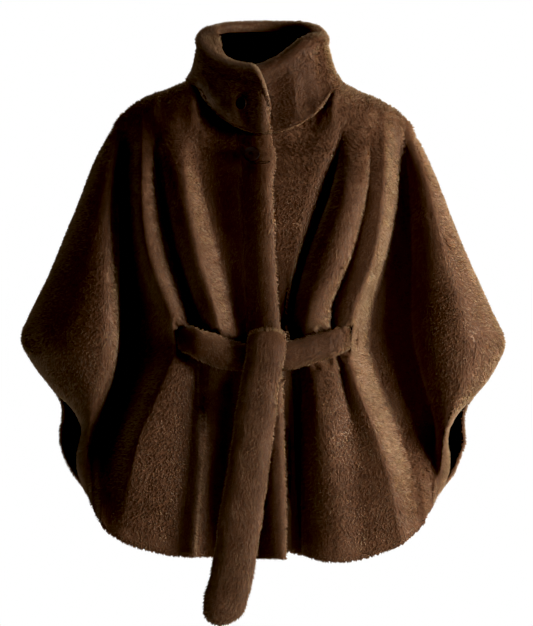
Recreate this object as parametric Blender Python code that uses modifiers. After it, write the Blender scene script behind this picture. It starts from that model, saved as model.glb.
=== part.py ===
"""A belted faux fur cape with a stand collar, worn shape, hollow, with no wearer in it.

Metres, +Z up, front towards -Y, wearer's right towards -X. The origin is the middle of the neck hole,
level with the tops of the shoulders. The tables below are in millimetres.
"""

import math

import bmesh
import bpy
import numpy as np
from mathutils import Vector

for old in list(bpy.data.objects):
    bpy.data.objects.remove(old, do_unlink=True)

MM = 0.001
WALL = 10.0  # backing cloth and pile of the body
GAP = 0.3  # between two pieces at a seam
SHOULDER_TURN = 70.0  # drop over which the cloth turns from the shoulder seam to the front or back
NECK_WIDE = 92.0  # half-width of the body's neck hole
BELT_HALF = 34.0  # half of the height on the cape that the belt presses flat
SLIT_X = 126.5  # belt slits, from the middle
SLIT_WIDE = 16.4
SLIT_HIGH = 45.0
SLIT_LEVEL = -359.0
COLLAR_LAP = 11.5  # how far the lapped ends stand out of or into the neck line

# Heights at which every line of cloth below is given.
HEIGHTS = (-36, -139, -241, -328, -365, -409, -504, -620, -679)

# One row per line of cloth down a front, from the front edge round to the arm: how the section passes it
# ("turn": runs front to back, as in a crease; "flat": side to side), columns of cloth from it to the next,
# distance from the middle at each height, and depth at each height (front is negative).
RIGHT_LINES = (
    ("edge", "turn", 2,
     (9, 15, 18, 24, 27, 28, 31, 34, 34),
     (-97, -121, -134, -138, -138, -140, -150, -159, -162)),
    ("band", "flat", 2,
     (-4, 1, 4, 10, 12, 13, 19, 23, 24),
     (-104, -130, -142, -146, -146, -149, -159, -167, -170)),
    ("seam", "turn", 2,
     (-36, -34, -31, -27, -26, -24, -18, -12, -9),
     (-91, -114, -127, -132, -133, -134, -143, -149, -151)),
    ("chest", "flat", 3,
     (-95, -88, -62, -43, -38, -42, -52, -60, -62),
     (-72, -92, -115, -122, -130, -112, -97, -98, -100)),
    ("roll a", "flat", 3,
     (-126, -114, -95, -69, -64, -74, -76, -80, -82),
     (-68, -126, -148, -154, -142, -122, -102, -100, -102)),
    ("crease", "turn", 3,
     (-157, -150, -129, -100, -90, -90, -88, -96, -100),
     (-62, -82, -94, -106, -118, -113, -116, -124, -127)),
    ("roll b", "flat", 3,
     (-177, -179, -167, -134, -124, -140, -180, -200, -205),
     (-54, -108, -130, -134, -126, -139, -148, -150, -152)),
    ("valley", "flat", 2,
     (-200, -207, -207, -192, -184, -196, -226, -238, -240),
     (-36, -22, -22, -30, -38, -40, -64, -140, -146)),
    ("fold", "turn", 2,
     (-205, -211, -212, -212, -213, -219, -249, -250, -249),
     (-28, -50, -74, -88, -92, -88, -70, -100, -112)),
    ("wing", "flat", 4,
     (-213, -228, -234, -238, -240, -243, -256, -258, -255),
     (-26, -76, -103, -118, -120, -112, -84, -66, -75)),
)
LEFT_LINES = (
    ("lap", "turn", 2,
     (-21, -15, -11, -5, -2, -1, 2, 5, 5),
     (-82, -106, -119, -123, -123, -126, -135, -144, -147)),
    ("bib", "flat", 2,
     (17, 27, 30, 31, 33, 34, 37, 39, 39),
     (-80, -114, -125, -127, -127, -122, -126, -134, -138)),
    ("chest", "flat", 2,
     (91, 62, 44, 34, 37, 40, 43, 46, 47),
     (-74, -114, -126, -128, -129, -122, -122, -130, -134)),
    ("crease a", "turn", 3,
     (112, 93, 57, 37, 40, 47, 50, 52, 53),
     (-70, -92, -104, -112, -122, -112, -112, -128, -134)),
    ("roll a", "flat", 3,
     (128, 122, 100, 69, 71, 78, 90, 103, 106),
     (-68, -132, -152, -156, -140, -147, -163, -169, -170)),
    ("crease b", "turn", 3,
     (153, 150, 126, 97, 101, 112, 131, 146, 149),
     (-64, -114, -130, -122, -122, -134, -153, -161, -163)),
    ("roll b", "flat", 3,
     (174, 173, 159, 128, 120, 130, 165, 192, 199),
     (-60, -118, -140, -142, -128, -146, -158, -160, -160)),
    ("valley", "flat", 2,
     (196, 201, 200, 189, 186, 198, 218, 236, 240),
     (-36, -24, -26, -36, -44, -46, -58, -128, -134)),
    ("fold", "turn", 2,
     (202, 210, 214, 214, 217, 227, 251, 246, 246),
     (-30, -29, -36, -44, -48, -50, -58, -104, -114)),
    ("wing", "flat", 4,
     (210, 238, 258, 278, 284, 286, 262, 252, 250),
     (-26, -64, -84, -93, -95, -93, -80, -68, -80)),
)
# The back, from the middle out to each arm.
BACK_MIDDLE = ("middle", "flat", 2, (0, 0, 0, 2, 2, 3, 4, 5, 5), (78, 110, 124, 131, 134, 139, 152, 166, 170))
BACK_RIGHT = (
    ("trough", "flat", 2,
     (-60, -58, -60, -62, -62, -64, -66, -70, -70),
     (68, 101, 113, 118, 121, 125, 135, 147, 151)),
    ("ridge", "flat", 2,
     (-110, -112, -116, -122, -124, -126, -128, -130, -130),
     (50, 102, 120, 128, 131, 135, 149, 163, 167)),
    ("arm pit", "flat", 2,
     (-160, -162, -168, -180, -182, -180, -172, -166, -165),
     (34, 72, 84, 90, 92, 95, 108, 128, 134)),
    ("arm", "flat", 3,
     (-205, -222, -240, -262, -265, -257, -232, -212, -208),
     (24, 62, 80, 88, 88, 88, 88, 98, 104)),
)
BACK_LEFT = (
    ("trough", "flat", 2,
     (58, 60, 64, 68, 68, 68, 70, 72, 72),
     (68, 100, 112, 118, 120, 124, 136, 149, 153)),
    ("ridge", "flat", 2,
     (108, 116, 122, 126, 127, 128, 130, 132, 132),
     (50, 104, 122, 127, 130, 134, 147, 160, 165)),
    ("arm pit", "flat", 2,
     (158, 166, 174, 182, 183, 182, 175, 168, 167),
     (34, 70, 82, 90, 92, 96, 110, 130, 136)),
    ("arm", "flat", 3,
     (204, 222, 242, 262, 264, 257, 232, 210, 206),
     (24, 62, 82, 88, 88, 88, 88, 98, 104)),
)
# The outermost line of cloth, shoulder to hem: height, distance out of the front's lip and of the back's
# lip, and how far each lip stands from the side seam's plane. The lips part where the arm comes out.
RIGHT_SIDE = (
    (-47, -220, -220, 0, 0),
    (-66, -231, -231, 0, 0),
    (-95, -246, -246, 0, 0),
    (-124, -258, -258, 0, 0),
    (-159, -271, -271, 0, 0),
    (-212, -293, -293, 0, 0),
    (-264, -314, -314, 0, 0),
    (-299, -331, -331, 0, 0),
    (-334, -348, -348, 0, 0),
    (-350, -355, -355, 0, 0),
    (-362, -356, -356, 0, 0),
    (-373, -353, -353, 0, 0),
    (-387, -345, -345, 0, 0),
    (-404, -334, -334, 0, 0),
    (-422, -320, -320, 0, 0),
    (-441, -304, -306, -2, 1),
    (-457, -286, -298, -14, 6),
    (-474, -273, -297, -28, 14),
    (-492, -267, -301, -36, 20),
    (-510, -270, -301, -38, 22),
    (-527, -274, -297, -34, 20),
    (-545, -275, -289, -24, 12),
    (-562, -271, -279, -10, 5),
    (-575, -267, -269, -2, 1),
    (-588, -262, -262, 0, 0),
)
LEFT_SIDE = (
    (-51, 217, 217, 0, 0),
    (-80, 231, 231, 0, 0),
    (-110, 245, 245, 0, 0),
    (-142, 258, 258, 0, 0),
    (-177, 271, 271, 0, 0),
    (-212, 285, 285, 0, 0),
    (-247, 300, 300, 0, 0),
    (-282, 316, 316, 0, 0),
    (-317, 332, 332, 0, 0),
    (-340, 343, 343, 0, 0),
    (-354, 350, 350, 0, 0),
    (-367, 352, 352, 0, 0),
    (-381, 349, 349, 0, 0),
    (-395, 342, 342, 0, 0),
    (-422, 326, 326, 0, 0),
    (-443, 308, 309, -1, 1),
    (-458, 293, 299, -9, 4),
    (-474, 279, 294, -21, 11),
    (-492, 270, 294, -32, 17),
    (-510, 268, 296, -36, 20),
    (-530, 271, 290, -34, 18),
    (-548, 271, 283, -22, 11),
    (-563, 267, 275, -9, 4),
    (-576, 263, 265, -2, 1),
    (-588, 257, 257, 0, 0),
)
# Top edge: distance from the middle, height.
FRONT_NECK = ((0, -60), (24, -58), (48, -48), (72, -31), (86, -11), (92, 3), (97, 12), (104, 19))
BACK_NECK = ((0, 6), (60, 9), (92, 11), (104, 19))
RIGHT_SHOULDER = ((123, 12), (141, 4), (158, -1), (176, -9), (193, -19), (211, -35), (220, -47))
LEFT_SHOULDER = ((122, 9), (139, 1), (157, -7), (174, -15), (192, -25), (208, -40), (217, -51))
# Hem: distance across, height.
RIGHT_HEM = (
    (-262, -588),
    (-246, -622),
    (-228, -642),
    (-211, -654),
    (-193, -663),
    (-176, -667),
    (-158, -672),
    (-141, -676),
    (-106, -679),
    (-60, -680),
    (34, -681),
)
LEFT_HEM = (
    (-1, -662),
    (36, -668),
    (45, -673),
    (69, -681),
    (87, -685),
    (122, -685),
    (139, -682),
    (157, -677),
    (192, -664),
    (210, -654),
    (227, -638),
    (245, -610),
    (257, -588),
)
BACK_HEM = (
    (-262, -588),
    (-252, -606),
    (-225, -634),
    (-170, -662),
    (-100, -677),
    (0, -682),
    (100, -677),
    (170, -661),
    (222, -634),
    (249, -606),
    (257, -588),
)
# Rows of cloth: share of the way from the top edge to the belt, then from the belt to the hem.
ABOVE_BELT = (0, 0.012, 0.05, 0.11, 0.19, 0.29, 0.41, 0.54, 0.67, 0.79, 0.9, 1)
BELOW_BELT = (0, 0.08, 0.2, 0.35, 0.52, 0.7, 0.86, 1)


def smooth(levels, values, at):
    """The values on a smooth line through the levels, level beyond both ends and never past its points."""
    levels = np.asarray(levels, float)
    values = np.asarray(values, float)
    order = np.argsort(levels)
    s, v = levels[order], values[order]
    rise = np.diff(v) / np.diff(s)
    slope = np.gradient(v, s)
    slope[0] = slope[-1] = 0.0
    slope[1:-1] = np.where(rise[:-1] * rise[1:] <= 0, 0.0, slope[1:-1])
    at = np.clip(at, s[0], s[-1])
    i = np.clip(np.searchsorted(s, at) - 1, 0, len(s) - 2)
    h = s[i + 1] - s[i]
    t = (at - s[i]) / h
    return (
        v[i] * (2 * t**3 - 3 * t**2 + 1)
        + v[i + 1] * (3 * t**2 - 2 * t**3)
        + h * slope[i] * (t**3 - 2 * t**2 + t)
        + h * slope[i + 1] * (t**3 - t**2)
    )


def even(values, at):
    """Straight lines between the points of a two-column table."""
    x, y = np.asarray(values, float).T
    return np.interp(at, x, y)


def belt_face(x):
    """Depth of the belt's inner face."""
    return -147.5 + 28.0 * np.abs(x / SLIT_X) ** 2.4


def belt_level(x):
    """Height of the belt's middle."""
    return -386.0 + 27.0 * np.minimum(np.abs(x / SLIT_X), 1.0) ** 1.2


def pressed(x, y, z):
    """Holds the cloth behind the belt, with the rolls swelling out over and under it."""
    off = np.abs(z - belt_level(x))
    swell = np.clip((off - BELT_HALF) / 45.0, 0, 1)
    limit = belt_face(x) + GAP + 0.4 - 50.0 * np.sqrt(1 - (1 - swell) ** 2)
    limit = limit - 200.0 * np.clip((np.abs(x) - SLIT_X - 4.0) / 12.0, 0, 1)
    return np.maximum(y, limit)


def section(lines, side, lip, u, z):
    """Where the cloth is on line number u (whole numbers are the named lines) at height z."""
    side = np.asarray(side, float)
    xs = [smooth(HEIGHTS, row[3], z) for row in lines]
    ys = [smooth(HEIGHTS, row[4], z) for row in lines]
    xs.append(smooth(side[:, 0], side[:, 1 + lip], z))
    ys.append(smooth(side[:, 0], side[:, 3 + lip], z))
    turns = [row[1] == "turn" for row in lines] + [True]
    i = int(min(math.floor(u), len(lines) - 1))
    t = u - i
    quick, slow = math.sin(math.pi * t / 2), 1 - math.cos(math.pi * t / 2)
    ease = (1 - math.cos(math.pi * t)) / 2
    across = {(1, 0): slow, (0, 1): quick, (0, 0): t, (1, 1): ease}[turns[i], turns[i + 1]]
    deep = {(1, 0): quick, (0, 1): slow, (0, 0): ease, (1, 1): t}[turns[i], turns[i + 1]]
    return xs[i] + (xs[i + 1] - xs[i]) * across, ys[i] + (ys[i + 1] - ys[i]) * deep


def neck_depth(x, front, back_of_front=0.0):
    """Depth of the neck hole's edge; zero from the neck point outwards."""
    round_ = np.sqrt(np.clip(1 - (x / NECK_WIDE) ** 2, 0, 1))
    return front * round_ + back_of_front * np.clip(1 - abs(x) / 60.0, 0, 1)


def cloth(lines, side, lip, top, neck, hem):
    """A grid of points down and across one panel, in rows."""
    columns = []
    last = len(lines)
    stations = [i + k / row[2] for i, row in enumerate(lines) for k in range(row[2])] + [last]
    for u in stations:
        x_top = float(section(lines, side, lip, u, -36.0)[0])
        if u == last:
            z_top, z_end = float(side[0][0]), float(side[-1][0])
        else:
            z_top = float(even(top, abs(x_top)))
            z_end = -620.0
            for _ in range(8):
                z_end = float(even(hem, float(section(lines, side, lip, u, z_end)[0])))
        x_belt = float(section(lines, side, lip, u, -360.0)[0])
        belt_top = float(belt_level(x_belt)) + BELT_HALF - 5
        belt_low = float(belt_level(x_belt)) - BELT_HALF + 5
        z = np.array(
            [z_top + (belt_top - z_top) * s for s in ABOVE_BELT]
            + [(belt_top + belt_low) / 2]
            + [belt_low + (z_end - belt_low) * s for s in BELOW_BELT]
        )
        x, y = section(lines, side, lip, u, z)
        if lip == 0:
            y = pressed(x, y, z)
        start = float(neck(x_top))
        if u == last:
            start = 0.0
        turn = np.clip((z_top - z) / SHOULDER_TURN, 0, 1)
        y = start + (y - start) * np.sqrt(1 - (1 - turn) ** 2)
        columns.append(np.stack([x, y, z], axis=1))
    return np.stack(columns, axis=1)


def normals_of(grid, sign):
    """Unit normals of a grid, outwards."""
    down = np.gradient(grid, axis=0)
    over = np.gradient(grid, axis=1)
    normal = np.cross(down, over) * sign
    return normal / np.maximum(np.linalg.norm(normal, axis=2, keepdims=True), 1e-9)


def softened(normal, times):
    for _ in range(times):
        near = normal.copy()
        near[1:-1] += 0.5 * (normal[:-2] + normal[2:])
        near[:, 1:-1] += 0.5 * (normal[:, :-2] + normal[:, 2:])
        near /= np.linalg.norm(near, axis=2, keepdims=True)
        normal = near
    return normal


def put_mesh(name, vertices, faces, slot):
    mesh = bpy.data.meshes.new(name)
    mesh.from_pydata([tuple(float(c) * MM for c in v) for v in vertices], [], faces)
    mesh.update()
    body = bpy.data.objects.new(name, mesh)
    cape.objects.link(body)
    mesh.materials.append(slot)
    return body


def wall(name, outer, inner, slot):
    """A closed wall between two grids of the same rows and columns."""
    rows, cols = outer.shape[:2]
    vertices = np.concatenate([outer.reshape(-1, 3), inner.reshape(-1, 3)])
    n = rows * cols
    faces = []
    for r in range(rows - 1):
        for c in range(cols - 1):
            a, b, d, e = r * cols + c, r * cols + c + 1, (r + 1) * cols + c + 1, (r + 1) * cols + c
            faces.append((a, b, d, e))
            faces.append((n + a, n + e, n + d, n + b))
    ring = (
        [(0, c) for c in range(cols)]
        + [(r, cols - 1) for r in range(1, rows)]
        + [(rows - 1, c) for c in range(cols - 2, -1, -1)]
        + [(r, 0) for r in range(rows - 2, 0, -1)]
    )
    for (r0, c0), (r1, c1) in zip(ring, ring[1:] + ring[:1]):
        a, b = r0 * cols + c0, r1 * cols + c1
        low, high = min(a, b), max(a, b)
        faces.append((b, a, n + high))
        faces.append((low, n + low, n + high) if low == a else (low, n + high, n + low))
    return put_mesh(name, vertices, faces, slot)


def facing(body):
    """Turns a body's faces outwards."""
    shape = bmesh.new()
    shape.from_mesh(body.data)
    bmesh.ops.recalc_face_normals(shape, faces=shape.faces)
    shape.to_mesh(body.data)
    shape.free()
    return body


def panel_walls(grid, sign):
    """The grid's inner face: a wall's thickness in, and straight in at the shoulder and side seams."""
    normal = softened(normals_of(grid, sign), 2)
    normal[:, -1, 1] = 0.0
    shoulder = np.abs(grid[0, :, 0]) > NECK_WIDE + 2
    normal[0, shoulder, 1] = 0.0
    normal /= np.linalg.norm(normal, axis=2, keepdims=True)
    return grid - WALL * normal, normal


def off_seam(outer, inner, column, way):
    """Moves one edge column sideways by half a seam gap."""
    over = np.gradient(outer, axis=1)[:, column]
    over /= np.linalg.norm(over, axis=1, keepdims=True)
    return way * over * GAP * 0.7


def off_plane(outer, inner, y):
    """Keeps a panel on its own side of the plane of the shoulder and side seams, by half a seam gap."""
    for grid in (outer, inner):
        grid[..., 1] = np.maximum(grid[..., 1], y) if y > 0 else np.minimum(grid[..., 1], y)


def strap(name, rows, wide, rings, slot):
    """A soft flat strip along a path. Rows: x, y, z of its middle, half its width, half its thickness."""
    rows = np.asarray(rows, float)
    along = np.concatenate([[0], np.cumsum(np.linalg.norm(np.diff(rows[:, :3], axis=0), axis=1))])
    at = np.linspace(0, along[-1], rings)
    path = np.stack([smooth_path(along, rows[:, k], at) for k in range(5)], axis=1)
    ahead = np.gradient(path[:, :3], axis=0)
    ahead /= np.linalg.norm(ahead, axis=1, keepdims=True)
    vertices = []
    for p, t in zip(path, ahead):
        w = np.asarray(wide, float)
        w = w - t * (w @ t)
        w /= np.linalg.norm(w)
        n = np.cross(t, w)
        for k in range(STRAP_SIDES):
            c, s = math.cos(math.tau * k / STRAP_SIDES), math.sin(math.tau * k / STRAP_SIDES)
            c, s = math.copysign(abs(c) ** 0.6, c), math.copysign(abs(s) ** 0.75, s)
            vertices.append(p[:3] + w * p[3] * c + n * p[4] * s)
    faces = [tuple(range(STRAP_SIDES)), tuple(len(vertices) - 1 - k for k in range(STRAP_SIDES))]
    for r in range(rings - 1):
        for k in range(STRAP_SIDES):
            a, b = r * STRAP_SIDES + k, r * STRAP_SIDES + (k + 1) % STRAP_SIDES
            faces.append((a, b, b + STRAP_SIDES, a + STRAP_SIDES))
    return facing(put_mesh(name, vertices, faces, slot))


def smooth_path(along, values, at):
    """A smooth line through a strip's rows that keeps its slope at the ends."""
    slope = np.gradient(values, along)
    i = np.clip(np.searchsorted(along, at) - 1, 0, len(along) - 2)
    h = along[i + 1] - along[i]
    t = (at - along[i]) / h
    return (
        values[i] * (2 * t**3 - 3 * t**2 + 1)
        + values[i + 1] * (3 * t**2 - 2 * t**3)
        + h * slope[i] * (t**3 - 2 * t**2 + t)
        + h * slope[i + 1] * (t**3 - t**2)
    )


def material(name, colour, roughness):
    made = bpy.data.materials.new(name)
    made.use_nodes = True
    shader = made.node_tree.nodes["Principled BSDF"]
    shader.inputs["Base Color"].default_value = (*colour, 1.0)
    shader.inputs["Roughness"].default_value = roughness
    made.diffuse_color = (*colour, 1.0)
    return made


def slit(body, x):
    """Cuts a belt slit through a front."""
    cutter = box(body.name + "_slit_cutter", (x, -110.0, SLIT_LEVEL), (SLIT_WIDE, 70.0, SLIT_HIGH))
    cut = body.modifiers.new("slit", "BOOLEAN")
    cut.operation = "DIFFERENCE"
    cut.solver = "EXACT"
    cut.object = cutter
    return body


def box(name, middle, size):
    bpy.ops.mesh.primitive_cube_add(size=1.0, location=[c * MM for c in middle])
    made = bpy.context.object
    made.name = name
    made.scale = [s * MM for s in size]
    for home in list(made.users_collection):
        home.objects.unlink(made)
    cutters.objects.link(made)
    made.hide_render = True
    made.display_type = "WIRE"
    return made


cape = bpy.data.collections.new("faux_fur_cape")
bpy.context.scene.collection.children.link(cape)
cutters = bpy.data.collections.new("cutters")
bpy.context.scene.collection.children.link(cutters)
cutters.hide_render = True

STRAP_SIDES = 12
BROWN = (0.085, 0.045, 0.024)
DARK = (0.012, 0.008, 0.006)

# Right front and its button band, cut from one grid so that they meet along the band seam.
right = cloth(
    RIGHT_LINES,
    RIGHT_SIDE,
    0,
    FRONT_NECK + RIGHT_SHOULDER,
    lambda x: neck_depth(x, -83.0, -12.0),
    RIGHT_HEM,
)
right_in, _ = panel_walls(right, -1)
off_plane(right, right_in, -GAP / 2)
seam = RIGHT_LINES[0][2] + RIGHT_LINES[1][2]
band_shift = off_seam(right, right_in, seam, -1)
body_shift = off_seam(right, right_in, seam, 1)
band, band_in = right[:, : seam + 1].copy(), right_in[:, : seam + 1].copy()
band[:, -1] += band_shift
band_in[:, -1] += band_shift
body, body_in = right[:, seam:].copy(), right_in[:, seam:].copy()
body[:, 0] += body_shift
body_in[:, 0] += body_shift
facing(wall("front_band", band, band_in, material("fur_front_band", BROWN, 0.9)))
front_right = facing(wall("front_right", body, body_in, material("fur_front_right", BROWN, 0.9)))
slit(front_right, -SLIT_X)

# Left front, which runs on under the button band.
left = cloth(
    LEFT_LINES, LEFT_SIDE, 0, FRONT_NECK + LEFT_SHOULDER, lambda x: neck_depth(x, -81.0), LEFT_HEM
)
left_in, _ = panel_walls(left, 1)
off_plane(left, left_in, -GAP / 2)
front_left = facing(wall("front_left", left, left_in, material("fur_front_left", BROWN, 0.9)))
slit(front_left, SLIT_X)

# Back, in two halves that meet at the seam down its middle, each out to its arm.
half = [
    cloth((BACK_MIDDLE, *lines), side, 1, BACK_NECK + shoulder, lambda x: neck_depth(x, 72.0), BACK_HEM)
    for lines, side, shoulder in (
        (BACK_RIGHT, RIGHT_SIDE, RIGHT_SHOULDER),
        (BACK_LEFT, LEFT_SIDE, LEFT_SHOULDER),
    )
]
for name, grid, way in (("rear_right", half[0], -1), ("rear_left", half[1], 1)):
    outwards = panel_walls(grid, -way)[1]
    outwards[:, 0, 0] = 0.0
    outwards[:, 0] /= np.linalg.norm(outwards[:, 0], axis=1, keepdims=True)
    grid_in = grid - WALL * outwards
    off_plane(grid, grid_in, GAP / 2)
    for face in (grid, grid_in):
        face[..., 0] = way * np.maximum(way * face[..., 0], GAP / 2)
    facing(wall(name, grid, grid_in, material("fur_" + name, BROWN, 0.9)))

# Stand collar: angle round the neck from the front towards the wearer's right, height of the rim.
COLLAR_RIM = (
    (-5, 20),
    (-2, 34),
    (3, 40),
    (15, 43),
    (30, 47),
    (50, 57),
    (70, 72),
    (90, 86),
    (110, 97),
    (140, 104),
    (180, 106),
    (220, 105),
    (245, 100),
    (270, 89),
    (300, 86),
    (317, 80),
    (330, 68),
    (345, 54),
    (360, 45),
    (376, 38),
)
# Section of the wall: outwards from the neck line, share of the height.
COLLAR_SECTION = (
    (6, 0),
    (6, 0.12),
    (5, 0.35),
    (3, 0.6),
    (2, 0.86),
    (-3, 0.97),
    (-11, 1.0),
    (-17, 0.96),
    (-21, 0.82),
    (-21, 0.5),
    (-20, 0.2),
    (-20, 0),
    (-10, 0),
)
# Hollows pressed into its outer face: angle, share of the height, reach of each, depth.
COLLAR_HOLLOWS = (
    (19, 0.45, 10, 0.32, 9),
    (52, 0.3, 14, 0.3, 6),
    (347, 0.32, 6, 0.12, 5),
    (322, 0.3, 9, 0.35, 4),
    (300, 0.5, 7, 0.4, 3),
)


def collar_grid(angles, shape):
    """Points round the neck, one closed section of the wall per angle."""
    rings = []
    for a in angles:
        turn = math.radians(a)
        deep = 90.0 if math.cos(turn) > 0 else 80.0
        lap = COLLAR_LAP * (ease_in((70 - a) / 70) - ease_in((a - 290) / 70))
        edge = min(a + 5.0, 376.0 - a)
        round_ = math.sqrt(max(0.0, 1 - (1 - min(edge / 5.0, 1)) ** 2))
        full = 0.5 + 0.5 * round_
        out = Vector((-math.sin(turn) / 100.0, -math.cos(turn) / deep, 0)).normalized()
        top = FRONT_NECK if math.cos(turn) > 0 else BACK_NECK
        rim = float(even(COLLAR_RIM, a))
        tilt = 4.5 + 8.5 * abs(math.sin(2 * turn)) if math.cos(turn) > 0 else 4.5 * abs(math.sin(turn))
        ring = []
        for offset, h in shape:
            away = -10.0 + (offset + 10.0) * full + lap - h * (6.0 - 4.0 * math.sin(turn))
            if offset > -9:
                for middle, level, reach, high, deepest in COLLAR_HOLLOWS:
                    near = 1 - ((a - middle) / reach) ** 2 - ((h - level) / high) ** 2
                    away -= deepest * max(near, 0.0) ** 1.3
            x = -100.0 * math.sin(turn) + out.x * away
            foot = float(even(top, abs(x))) + 1.8 + 1.0 * math.cos(turn)
            foot += tilt * max(-offset, 0.0) / 20 * (h == 0)
            ring.append((x, -deep * math.cos(turn) + out.y * away - 5.0 * h, foot + (rim - foot) * h))
        rings.append(ring)
    return np.asarray(rings)


def ease_in(t):
    t = min(max(t, 0.0), 1.0)
    return t * t * (3 - 2 * t)


def tube(name, rings, slot):
    """A closed body through sections that run round a tube, with both ends capped."""
    count, sides = rings.shape[:2]
    vertices = rings.reshape(-1, 3)
    faces = [tuple(range(sides)), tuple(len(vertices) - 1 - k for k in range(sides))]
    for r in range(count - 1):
        for k in range(sides):
            a, b = r * sides + k, r * sides + (k + 1) % sides
            faces.append((a, b, b + sides, a + sides))
    return facing(put_mesh(name, vertices, faces, slot))


collar_angles = [-5, -4, -2, *range(2, 370, 10), 374, 376]
tube("collar", collar_grid(collar_angles, COLLAR_SECTION), material("fur_collar", BROWN, 0.9))

# Belt: x, y, z of the middle, half the width, half the thickness.
BELT_RIGHT = (
    (-127, -96, -359, 21, 5.5),
    (-127, -110, -359, 21, 5.5),
    (-127, -119.5, -359, 21, 5.5),
    (-124, -128, -359, 21, 5.5),
    (-117, -133.8, -359.5, 21.3, 6),
    (-100, -141, -363.5, 22.5, 6.3),
    (-80, -146.3, -371, 24.5, 6.5),
    (-50, -152, -382, 24.5, 6.5),
    (-25, -154.6, -386, 20.5, 6.5),
    (-2.4, -155, -387, 18, 6.5),
)
BELT_LEFT = (
    (127, -96, -359, 21, 5.5),
    (127, -110, -359, 21, 5.5),
    (127, -119.5, -359, 21, 5.5),
    (124, -128, -359.5, 21, 5.5),
    (117, -133.8, -361, 21.3, 6),
    (100, -141, -364.5, 22, 6.3),
    (80, -146.3, -370, 22.5, 6.5),
    (50, -152, -379, 23.2, 6.5),
    (25, -154.6, -385.5, 21.5, 6.5),
    (2.4, -155, -387, 18, 6.5),
)
BELT_TAIL = (
    (4, -154.3, -354.8, 22, 5),
    (4, -161.5, -352.8, 26, 5.5),
    (4, -168.5, -355.8, 29.5, 6.8),
    (3.5, -172, -366.5, 31, 8),
    (1, -173.5, -388, 30, 8.5),
    (-5, -174.5, -410, 29, 9),
    (-9, -175, -440, 30, 9),
    (-11.5, -175, -462, 31, 9),
    (-16, -174, -495, 31.5, 9),
    (-25, -175.5, -556, 32, 9),
    (-36, -178, -630, 33, 8.5),
    (-43, -179.5, -680, 33, 8.5),
    (-51.5, -180, -720, 33.5, 8.5),
    (-58, -180, -741, 33, 8),
    (-62, -180, -758, 28, 7.5),
    (-63, -180, -767, 21, 6),
    (-63, -180, -772, 11, 4),
)
BELT_UNDER_TAIL = (
    (9, -157, -413, 26, 4.8),
    (7, -157, -420, 20, 5.8),
    (3, -157.5, -432, 18, 5.8),
    (-1, -158.5, -447, 16, 5.3),
    (-4, -159.2, -459, 12, 4),
)
BELT_INSIDE = (
    (-127, -95.2, -359, 21, 5.5),
    (-127.5, -80, -359, 21, 5.5),
    (-134, -35, -359, 24, 6),
    (-137, 10, -358, 27, 6.5),
    (-128, 50, -356, 29, 6.5),
    (-100, 79, -355, 30, 6.5),
    (-52, 97, -354, 30, 6.5),
    (0, 103, -354, 30, 6.5),
    (52, 97, -354, 30, 6.5),
    (100, 79, -355, 30, 6.5),
    (128, 50, -356, 29, 6.5),
    (137, 10, -358, 27, 6.5),
    (134, -35, -359, 24, 6),
    (127.5, -80, -359, 21, 5.5),
    (127, -95.2, -359, 21, 5.5),
)
strap("belt_right", BELT_RIGHT, (0, 0, 1), 14, material("fur_belt_right", BROWN, 0.9))
strap("belt_left", BELT_LEFT, (0, 0, 1), 14, material("fur_belt_left", BROWN, 0.9))
strap("belt_tail", BELT_TAIL, (1, 0, 0), 28, material("fur_belt_tail", BROWN, 0.9))
strap("belt_under_tail", BELT_UNDER_TAIL, (1, 0, 0), 6, material("fur_belt_under_tail", BROWN, 0.9))
strap("belt_inside", BELT_INSIDE, (0, 0, 1), 22, material("fur_belt_inside", BROWN, 0.9))


def round_button(name, middle, across, thick, tip, swing, slot):
    """A round button with a raised, softened rim, facing forwards, tipped up and swung round."""
    bpy.ops.mesh.primitive_cylinder_add(
        vertices=24,
        radius=across / 2 * MM,
        depth=thick * MM,
        location=[c * MM for c in middle],
        rotation=(math.radians(90 - tip), 0, math.radians(swing)),
    )
    made = bpy.context.object
    made.name = name
    made.data.name = name
    for home in list(made.users_collection):
        home.objects.unlink(made)
    cape.objects.link(made)
    made.data.materials.append(slot)
    shape = bmesh.new()
    shape.from_mesh(made.data)
    shape.faces.ensure_lookup_table()
    front = [f for f in shape.faces if f.normal.z > 0.9]
    rim = bmesh.ops.inset_region(shape, faces=front, thickness=across * 0.16 * MM)
    for face in front:
        for corner in face.verts:
            corner.co.z -= thick * 0.3 * MM
    shape.to_mesh(made.data)
    shape.free()
    soft = made.modifiers.new("soft edge", "BEVEL")
    soft.width = thick * 0.16 * MM
    soft.segments = 1
    soft.limit_method = "ANGLE"
    return made


round_button("button", (-18.5, -114.6, -90), 23.0, 4.5, 27, 0, material("button_brown", DARK, 0.35))
collar_brown = material("collar_button_brown", DARK, 0.35)
round_button("collar_button", (-33.8, -98.7, -17), 17.0, 4.0, 0, -30, collar_brown)
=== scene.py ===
"""A belted faux fur cape with a stand collar, hollow, as it sits when worn.

The cloth is modelled as backing with a pile of tufts on it. Tables and shapes are in millimetres, in the
frame's own place: front towards -Y, wearer's right towards -X, origin between the shoulders.
"""

import itertools
import math

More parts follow.
